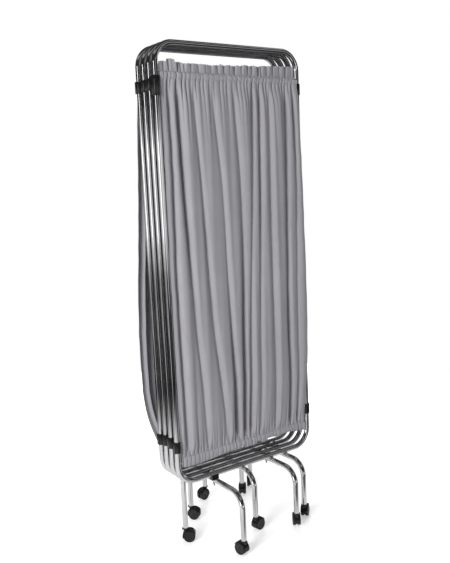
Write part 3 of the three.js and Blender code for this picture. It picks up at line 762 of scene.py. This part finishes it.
# The rise of the front curtain's free edges in tenths of a millimetre, at thousandths across.
FRONT_HEADER_LINE = (
    (0, -10), (34, 10), (50, 10), (55, 85), (75, 100), (103, 80), (108, -10), (134, 20), (148, 15),
    (168, -30), (195, -25), (223, -10), (279, -17), (357, -33), (378, -33), (407, -18), (429, 7),
    (444, -14), (466, -11), (488, 5), (526, -23), (556, 24), (571, -11), (602, 37), (625, 37), (648, 11),
    (672, 44), (695, 24), (710, 2), (742, 50), (766, 51), (847, 73), (905, 76), (971, 91), (1000, 97),
)
FRONT_HEM_LINE = (
    (0, -35), (40, -85), (136, -88), (189, -60), (243, -40), (361, 15), (441, 0), (452, 10), (457, 70),
    (482, 65), (490, -20), (555, -30), (572, 0), (582, 65), (610, 65), (628, -20), (660, -30), (672, 70),
    (708, 70), (740, 40), (768, 0), (785, 20), (810, 60), (840, 70), (870, 65), (893, 40), (914, 10),
    (974, 0), (1000, -60),
)


def made_up_creases(count, seed, strength):
    rng = np.random.default_rng(seed)
    places = np.linspace(0.04, 0.96, count) + rng.uniform(-0.018, 0.018, count)
    creases = []
    for place in places:
        lean = rng.uniform(-0.035, 0.035)
        across = [place + lean * (height - 0.95) + rng.uniform(-0.006, 0.006) for height in FOLD_HEIGHTS]
        depths = [strength * rng.uniform(0.35, 1) for _ in FOLD_HEIGHTS]
        creases.append((np.clip(across, 0.015, 0.985), depths))
    return creases


def made_up_gathers(count, seed):
    rng = np.random.default_rng(seed)
    places = (np.arange(count) + 0.5 + rng.uniform(-0.3, 0.3, count)) / count
    return [(place, rng.uniform(0.4, 1.3)) for place in places]


def made_up_line(seed, size):
    rng = np.random.default_rng(seed)
    return [(share, rng.uniform(-size, size)) for share in np.linspace(0, 1, 31)]


# How far each side edge stands out of the plane, and beyond its place, at these heights, in millimetres.
EDGE_HEIGHTS = (0.3, 0.36, 0.42, 0.48, 0.535, 0.6, 0.74, 0.85, 0.97, 1.09, 1.21, 1.32, 1.42, 1.53, 1.57)
STILL = (0,) * len(EDGE_HEIGHTS)
CURL_SHARE = 0.13  # of the width, over which a side edge curls back


def scaled(pairs, by):
    return [(place / 1000, value / by) for place, value in pairs]


# What a curtain has where its own form says nothing.
PLAIN = {key: STILL for key in ("left_out", "right_out", "left_reach", "left_curl", "right_reach")}
PLAIN.update(bulge_power=1, facing=-1)
FRONT = {
    "creases": [(places / 1000, depths / 100) for places, depths in np.array(FRONT_CREASES)],
    "top_gathers": scaled(FRONT_TOP_GATHERS, 10),
    "low_gathers": scaled(FRONT_LOW_GATHERS, 10),
    "frill": scaled(FRONT_FRILL, 10),
    "header_line": scaled(FRONT_HEADER_LINE, 10000),
    "hem_line": scaled(FRONT_HEM_LINE, 10000),
    "left_out": (0, -2, -5, -8, -9, -9, -9, -9, -8, -7, -6, -5, -3, -1, 0),
    "right_out": (0, -6.5, -12.5, -16.5, -19.5, -22, -25.5, -26, -24.8, -23, -21.2, -20.2, -19.4, -18.4, -11),
    "left_reach": (0, 0, 2, 4, 5, 5, 5, 5, 4, 3, 2, 1, 0, 0, 0),
    "right_reach": (0, 0, 1.5, 6, 10.3, 11, 12, 12, 12, 12, 12, 10.5, 8, 5, 2),
    "bulge_power": 1.25,
    "fold": 0.0108,
    "notch": 0.0145,
    "seed": 11,
    "columns": 440,
    "row_step": 0.009,
}
INNER = {"fold": 0.0075, "notch": 0.0085, "columns": 240, "row_step": 0.012}
REAR = {
    "left_out": (0, 25, 46, 62, 71, 79, 78, 70, 58, 48, 36, 27, 22, 18, 7),
    "right_out": (0, 8, 14.5, 18, 20, 21, 22, 22, 20.5, 18.5, 15.5, 12, 8.5, 3.5, 1),
    "left_reach": (0, 24, 37, 45, 45, 43, 44, 45, 46, 39, 35, 33, 29, 20, 6),
    "left_curl": (0, 2, 6, 11, 15, 17, 20, 25, 30, 25, 20, 19, 17, 9, 0),
    "facing": 1,
    "fold": 0.0105,
    "notch": 0.0115,
    "columns": 340,
    "row_step": 0.01,
}


def made_up_curtain(seed, creases=9, strength=0.8, header=0.0015, hem=0.002):
    return {
        "creases": made_up_creases(creases, seed, strength),
        "top_gathers": made_up_gathers(32, seed + 1),
        "low_gathers": made_up_gathers(34, seed + 2),
        "frill": made_up_gathers(24, seed + 3),
        "header_line": made_up_line(seed + 4, header),
        "hem_line": made_up_line(seed + 5, hem),
        "seed": seed,
    }


CURTAINS = {
    "front": FRONT,
    "second": {**made_up_curtain(21), **INNER},
    "third": {**made_up_curtain(34), **INNER},
    "rear": {**made_up_curtain(47, 10, 1, 0.002, 0.003), **REAR},
}


def smooth_table(heights, at, values, width):
    fine = np.linspace(0, 2, 801)
    raw = np.interp(fine, at, values)
    kernel = np.exp(-0.5 * (np.arange(-90, 91) * (fine[1] - fine[0]) / width) ** 2)
    soft = np.convolve(np.pad(raw, 90, mode="edge"), kernel / kernel.sum(), mode="valid")
    return np.interp(heights, fine, soft)


# The heights of the rows, in steps that are fine near the rods and the seams.
SEAM_MARGIN, SEAM_STEP = 0.006, 0.0016


def row_heights(step):
    heights = [HEM_EDGE]
    z = HEM_EDGE
    while z < HEADER_EDGE - 0.0005:
        if z < BOTTOM_STITCH + SEAM_MARGIN or z > TOP_STITCH_LOW - SEAM_MARGIN:
            z += SEAM_STEP
        else:
            near = min(z - BOTTOM_STITCH, TOP_STITCH_LOW - z)
            z += min(step, 0.0018 + near * 0.1)
        heights.append(min(z, HEADER_EDGE))
    return np.array(heights)


# One row of large folds: each rises steeply beside a crease and falls off slowly to the next one.
FOLD_RISE = 0.017
WHOLE_FOLD = 0.055  # the width at which a fold has its whole height


def fold_row(across, places, depths, fold, notch):
    knots = np.concatenate([[0], places, [1]])
    index = np.clip(np.searchsorted(knots, across, side="right") - 1, 0, len(knots) - 2)
    span = np.maximum(knots[index + 1] - knots[index], 1e-4)
    t = (across - knots[index]) / span
    rise = np.clip(FOLD_RISE / (span * SHEET_WIDTH), 0.2, 0.5)
    up = np.sin(np.clip(t / rise, 0, 1) * math.pi / 2) ** 1.1
    down = np.cos(np.clip((t - rise) / (1 - rise), 0, 1) * math.pi / 2) ** 0.75
    height = np.where(t < rise, up, down) * np.clip(span * SHEET_WIDTH / WHOLE_FOLD, 0.5, 1.1)
    strength = np.concatenate([[0.8], depths, [0.8]])
    local = strength[index] * (1 - t) + strength[index + 1] * t
    height *= 0.5 + 0.5 * np.clip(local / 0.7, 0, 1)
    out = -fold * height
    for place, depth in zip(places, depths):
        gap = (across - place) * SHEET_WIDTH
        wide = np.where(gap < 0, 0.004 + 0.0038 * depth, 0.003 + 0.0015 * depth)
        out += notch * depth**1.35 * np.exp(-np.abs(gap / wide) ** 1.4)
    return out


# Valleys that leave a seam, open out and fade into the cloth.
def valleys(across, away, gathers, rng, size, reach, width):
    away = np.maximum(away, 0)
    total = 0
    for place, depth in gathers:
        far = reach * rng.uniform(0.5, 1.2) * (0.6 + depth)
        slant = rng.uniform(-0.1, 0.1)
        wide = width * rng.uniform(0.8, 1.3) + away * 0.022
        centre = place + slant * away / (1 + away * 12)
        gap = (across - centre[:, None]) * SHEET_WIDTH / wide[:, None]
        total += size * depth * np.exp(-((away / far) ** 1.3))[:, None] * np.exp(-np.abs(gap) ** 1.3)
    return total


def step_up(value, low, high):
    t = np.clip((value - low) / (high - low), 0, 1)
    return t * t * (3 - 2 * t)


def fold_rows(form, zs, across):
    creases = form["creases"]
    places = np.stack([smooth_table(zs, FOLD_HEIGHTS, c[0], 0.09) for c in creases], axis=1)
    depths = np.stack([smooth_table(zs, FOLD_HEIGHTS, c[1], 0.07) for c in creases], axis=1)
    folds = [fold_row(across, p, d, form["fold"], form["notch"]) for p, d in zip(places, depths)]
    kernel = np.exp(-0.5 * (np.arange(-6, 7) * SHEET_WIDTH / form["columns"] / 0.0019) ** 2)
    kernel /= kernel.sum()
    folds = np.stack([np.convolve(np.pad(row, 6, mode="edge"), kernel, mode="valid") for row in folds])
    return folds + form["fold"] * 0.35


POCKET_GAP = 0.0014  # between a rod and its pocket


# Half of the cloth's thickness by height: the pockets stand off their rods, and the frill is double.
def half_thickness(zs, in_frill):
    half = np.full(zs.size, CLOTH_HALF)
    pockets = (BOTTOM_ROD, HEM_EDGE, BOTTOM_STITCH), (TOP_ROD, TOP_STITCH_LOW, TOP_STITCH_HIGH)
    for rod, start, end in pockets:
        along = np.where(zs < rod, (rod - zs) / (rod - start), (zs - rod) / (end - rod))
        bow = np.sqrt(np.clip(1 - np.clip(along, 0, 1) ** 2, 0, 1))
        half = np.maximum(half, CLOTH_HALF + (ROD_RADIUS + POCKET_GAP) * bow**0.8)
    half = np.where(in_frill, CLOTH_HALF * 2, half)
    pinch = CLOTH_HALF + 0.0026 * np.exp(-((np.maximum(TOP_STITCH_LOW - zs, 0) / 0.014) ** 2))
    return np.where(zs < TOP_ROD, np.maximum(half, pinch), half)


# Valleys that leave the seams: depth, reach from the seam and width.
TOP_GATHER, LOW_GATHER, FRILL_GATHER = (0.0082, 0.115, 0.0022), (0.0085, 0.062, 0.0022), (0.0085, 9, 0.0028)
TOP_PUCKER, LOW_PUCKER = (1, 1, 0.0024), (1, 1, 0.0028)
PUCKER, PUFF = 0.0011, 0.42  # of a pocket's middle, and as a share of its thickness
DRAPE_WAVES, DRAPE = 9, 0.00045
RIPPLE, RIPPLES = 0.0016, 13
EDGE_BLUR = 0.022
HEM_WIDTH, HEM_EXTRA, HEM_CALM = 0.012, 0.0003, 0.018
FINE_WAVES, FINE = 4, 0.0006  # of the free edges


# The middle plane of a curtain and half of its thickness, row by row.
def curtain_points(form):
    zs = row_heights(form["row_step"])
    across = np.linspace(0, 1, form["columns"] + 1)
    rng = np.random.default_rng(form["seed"])
    from_low, from_high = zs - BOTTOM_STITCH, TOP_STITCH_LOW - zs
    in_body = step_up(from_low, -0.001, 0.004) * step_up(from_high, -0.001, 0.004)
    full = (step_up(from_low, 0, 0.045) * step_up(from_high, 0, 0.085))[:, None]

    folds = fold_rows(form, zs, across)
    top = valleys(across, from_high, form["top_gathers"], rng, *TOP_GATHER)
    low = valleys(across, from_low, form["low_gathers"], rng, *LOW_GATHER)
    gathers = (top - top.mean()) * 0.9 + (low - low.mean()) * 0.9

    drape = 0
    for _ in range(DRAPE_WAVES):
        turns, phase, slant = rng.uniform(4, 19), rng.uniform(0, math.tau), rng.uniform(-2.7, 2.7)
        drape += DRAPE * np.sin(turns * math.tau * across + phase + slant * (zs[:, None] - 0.3))

    middle = folds * full + gathers * in_body[:, None] + drape * (0.3 + 0.7 * full)

    # Puckers of the pockets, and the frill that stands up from the top one.
    low_pucker = valleys(across, np.zeros(1), form["low_gathers"], rng, *LOW_PUCKER)[0]
    top_pucker = valleys(across, np.zeros(1), form["top_gathers"], rng, *TOP_PUCKER)[0]
    low_pucker, top_pucker = np.clip(low_pucker, 0, 1.4) - 0.6, np.clip(top_pucker, 0, 1.4) - 0.6
    in_low = 1 - step_up(from_low, -0.001, 0.002)[:, None]
    under_frill = 1 - step_up(zs, TOP_STITCH_HIGH - 0.002, TOP_STITCH_HIGH)
    in_top = ((1 - step_up(from_high, -0.001, 0.002)) * under_frill)[:, None]
    middle += PUCKER * (in_low * low_pucker + in_top * top_pucker)
    rise = np.clip((zs - TOP_STITCH_HIGH) / (HEADER_EDGE - TOP_STITCH_HIGH), 0, 1)
    frill = valleys(across, zs - TOP_STITCH_HIGH, form["frill"], rng, *FRILL_GATHER)
    ripple = RIPPLE * np.sin(across * math.tau * RIPPLES + 2 * np.sin(across * 19 + form["seed"]))
    middle += np.where(rise > 0, 0.35 + 0.65 * rise, 0)[:, None] * (frill - frill.mean() + ripple)

    puffs = in_low * (0.8 - low_pucker) + in_top * (0.8 - top_pucker)
    halves = half_thickness(zs, rise > 0)[:, None] * (1 + PUFF * puffs)

    # The side edges, which bulge out of the plane between the rods.
    def edge(key):
        by_height = smooth_table(zs, EDGE_HEIGHTS, np.array(form[key]) / 1000, EDGE_BLUR)
        return (by_height * (zs < TOP_ROD) * (zs > BOTTOM_ROD))[:, None]

    blend = across ** form["bulge_power"]
    bulge = edge("left_out") * (1 - blend) + edge("right_out") * blend
    bulge -= edge("left_curl") * np.clip(1 - across / CURL_SHARE, 0, 1) ** 2
    sway = np.abs(0.0009 * np.sin(zs * 18 + form["seed"]) + 0.0006 * np.sin(zs * 44 + 2))[:, None]
    left = -HALF + STILE_CLEARANCE - edge("left_reach") + sway
    right = HALF - STILE_CLEARANCE + edge("right_reach") - sway
    x = left + (right - left) * across

    # Folds run out at the side hems.
    hem = np.minimum(across, 1 - across) * SHEET_WIDTH
    calm = 0.3 + 0.7 * np.clip(hem / HEM_CALM, 0, 1)
    y = bulge - form["facing"] * middle * calm
    halves = np.where(hem < HEM_WIDTH, halves + HEM_EXTRA, halves)

    # The free edges of the frill and of the hem.
    fine = 0
    for _ in range(FINE_WAVES):
        fine += FINE * np.sin(rng.uniform(20, 60) * math.tau * across + rng.uniform(0, math.tau))
    header = np.interp(across, *zip(*form["header_line"])) + fine
    hem_rise = np.interp(across, *zip(*form["hem_line"])) + fine
    fall = np.clip((BOTTOM_STITCH - zs) / (BOTTOM_STITCH - HEM_EDGE), 0, 1)
    z = zs[:, None] + (rise * rise)[:, None] * header + (fall * fall)[:, None] * hem_rise
    return x, y, z, halves


def rows_of(*grids):
    return np.stack(grids, axis=-1).reshape(-1, len(grids))


def closed_sheet(name, x, y, z, half):
    front, back = rows_of(x, y - half, z), rows_of(x, y + half, z)
    shift = x.size
    index = np.arange(shift).reshape(x.shape)
    a, b, c, d = index[:-1, :-1], index[:-1, 1:], index[1:, 1:], index[1:, :-1]
    faces = [rows_of(a, b, c, d), rows_of(a, d, c, b) + shift]
    rims = ((index[0], False), (index[-1], True), (index[:, 0], True), (index[:, -1], False))
    for line, flip in rims:
        p, q = line[:-1], line[1:]
        quad = rows_of(p, p + shift, q + shift, q)
        faces.append(quad[:, ::-1] if flip else quad)
    mesh = bpy.data.meshes.new(name)
    mesh.from_pydata(np.concatenate([front, back]).tolist(), [], np.concatenate(faces).tolist())
    return smoothed(mesh, 60)


def curtains():
    for panel in PANELS:
        x, y, z, half = curtain_points({**PLAIN, **CURTAINS[panel]})
        mesh = closed_sheet("curtain", x, y + PANEL_Y[panel], z, half)
        made = piece(f"{panel}_curtain_cloth", mesh, "curtain_cloth", f"{panel}_panel", f"{panel}_curtain")


# Studio: a pale floor, soft lamps and a dark room with light strips that only metal and gloss see.
FLOOR_RADIUS, FLOOR_DROP = 2.2, 0.0004
STRIP_BEARING = 73.5  # of the tall light strip, in degrees from the front towards the left
# The foot of the tall strip is a bright path of glow painted on the floor, a painted reflection that only
# metal and gloss see.
FOOT_HALF, FOOT_RIM, FOOT_LEVEL = 5.5, 8, 0.6  # its foot: half width without and with the fade, and level


def cosine(degrees):
    return math.cos(math.radians(degrees))


def floor():
    bm = bmesh.new()
    bmesh.ops.create_circle(bm, cap_ends=True, segments=96, radius=FLOOR_RADIUS)
    mesh = mesh_from(bm, "floor")
    made, t, where = material("floor_paper")
    path = t.add("LightPath")
    glossy = path.outputs["Is Glossy Ray"]
    seen = t.math("MAXIMUM", path.outputs["Is Camera Ray"], path.outputs["Is Transmission Ray"])
    color = t.mixed(t.noise(where, 300, 3), grey(0.8), grey(0.84))
    far = t.add("VectorMath", {"operation": "LENGTH"}, i0=where).outputs["Value"]

    # Painted reflection: metal and gloss see the paper's colour painted dark in front on the right, and
    # farther off.
    x, y, _ = t.add("SeparateXYZ", Vector=where).outputs
    ahead = t.fade(t.times(y, -1), 0.3, 0.44)
    aside = t.fade(x, -0.3, -0.1)
    ahead = t.times(t.times(ahead, aside), 0.88)
    painted_dark_reflection = t.times(t.math("MAXIMUM", ahead, t.fade(far, 0.7, 1.9)), glossy)
    paper = t.add("BsdfDiffuse", Color=t.mixed(painted_dark_reflection, color, grey(0.02)))

    # Painted reflection: metal and gloss also see a faint pool of light and the foot of the tall strip as a
    # bright path, both painted on the paper as glow.
    bearing = math.radians(STRIP_BEARING)
    reach = t.add("VectorMath", {"operation": "SUBTRACT"}, i0=where, i1=(-HALF, 0, 0))
    reach = t.add("VectorMath", {"operation": "NORMALIZE"}, i0=reach)
    aim = (-math.sin(bearing), -math.cos(bearing), 0)
    along = t.add("VectorMath", {"operation": "DOT_PRODUCT"}, i0=reach, i1=aim).outputs["Value"]
    foot = t.fade(along, cosine(FOOT_RIM), cosine(FOOT_HALF), 0, FOOT_LEVEL)
    foot = t.times(foot, t.fade(far, 0.7, 1.2))
    painted_light_pool = t.times(t.between(far, 0.6, 1.6, 0.1, 0), t.math("SUBTRACT", 1, painted_dark_reflection))
    painted_reflection_glow = t.times(glossy, t.math("ADD", painted_light_pool, foot))

    # The camera sees the paper fade to white, and keeps the shadow.
    melt = t.times(seen, t.fade(far, 0.5, 1.1, 0.42))
    glow = t.add("Emission", Color=grey(1), Strength=t.math("ADD", melt, painted_reflection_glow))
    t.add("OutputMaterial", Surface=t.add("AddShader", i0=paper, i1=glow))
    mesh.materials.append(made)
    ground = linked("floor", mesh)
    ground.location.z = -FLOOR_DROP


# Name, place, aim, width, height and power.
LAMPS = (
    ("key", (-2.6, -1.3, 1.6), (0, 0, 0.95), 1, 1.7, 90),
    ("fill", (1.3, -2.6, 1.6), (0, 0, 0.9), 0.5, 1.6, 6),
    ("back", (1.9, 2.4, 1.7), (0, 0, 0.95), 1, 1.7, 52),
    ("top", (0.2, 0.3, 3.2), (0, 0, 1), 1.6, 1, 19),
)


def lamp(name, place, aim, width, height, power):
    data = bpy.data.lights.new(name, "AREA")
    data.shape, data.size, data.size_y = "RECTANGLE", width, height
    data.energy = power
    made = linked(name, data)
    made.location = place
    made.rotation_mode = "QUATERNION"
    made.rotation_quaternion = (Vector(aim) - Vector(place)).to_track_quat("-Z", "Y")
    made.visible_glossy = False


# Upright light strips: bearing, half width, level, and the heights between which each one is bright. Heights
# are sines of the angle above level.
STRIPS = (
    (STRIP_BEARING, 5, 0.9, -0.36, -0.06),
    (STRIP_BEARING, 5.5, 2.8, -0.06, 0.06),
    (STRIP_BEARING, 4, 3.6, 0.06, 0.24),
    (-6, 3.5, 1.2, -0.16, 0.05),
    (-6, 2, 0.9, 0.05, 0.24),
    (112, 4, 0.9, -0.22, 0.1),
    (-118, 5, 0.7, -0.2, 0.15),
    (195, 8, 1.2, -0.2, 0.25),
)
STRIP_BLUR = 2.5  # degrees beyond a strip's half width over which it fades
STRIP_END = 0.03  # the span of heights over which it fades
WALL_LEVEL, AMBIENT = 0.035, 0.27  # what gloss sees between the strips, and what lights the rest


def room():
    world = bpy.data.worlds.new("room")
    scene.world = world
    world.use_nodes = True
    t = Tree(world.node_tree)
    path = t.add("LightPath")
    x, y, z = t.add("SeparateXYZ", Vector=t.add("TexCoord").outputs["Generated"]).outputs

    # A haze round the horizon and a ring high up.
    haze = t.times(t.fade(z, -0.15, -0.06, 0, 0.55), t.fade(z, 0.05, 0.12, 1, 0))
    ring = t.times(t.fade(z, 0.58, 0.66, 0, 0.3), t.fade(z, 0.74, 0.82, 1, 0))
    level = t.math("ADD", t.math("ADD", haze, ring), WALL_LEVEL)
    level_length = t.math("SQRT", t.math("MULTIPLY_ADD", x, x, t.times(y, y)))
    for bearing, half, bright, low, high in STRIPS:
        angle = math.radians(bearing)
        ahead = t.math("MULTIPLY_ADD", x, -math.sin(angle), t.times(y, -math.cos(angle)))
        facing = t.math("DIVIDE", ahead, level_length)
        strip = t.fade(facing, cosine(half + STRIP_BLUR), cosine(half), 0, bright)
        strip = t.times(strip, t.fade(z, low - STRIP_END, low))
        strip = t.times(strip, t.fade(z, high, high + STRIP_END, 1, 0))
        level = t.math("ADD", level, strip)
    mirror = t.add("Background", Color=grey(1), Strength=level)
    white = t.add("Background", Color=grey(1), Strength=1)
    soft = t.add("Background", Color=grey(1), Strength=AMBIENT)
    glossy = t.math("MAXIMUM", path.outputs["Is Glossy Ray"], path.outputs["Is Transmission Ray"])
    unseen = t.add("MixShader", i0=glossy, i1=soft, i2=mirror)
    full = t.add("MixShader", i0=path.outputs["Is Camera Ray"], i1=unseen, i2=white)
    t.add("OutputWorld", Surface=full)


tubes()
hinge_leg()
links()
end_clips()
casters()
curtains()
floor()
room()
for each in LAMPS:
    lamp(*each)
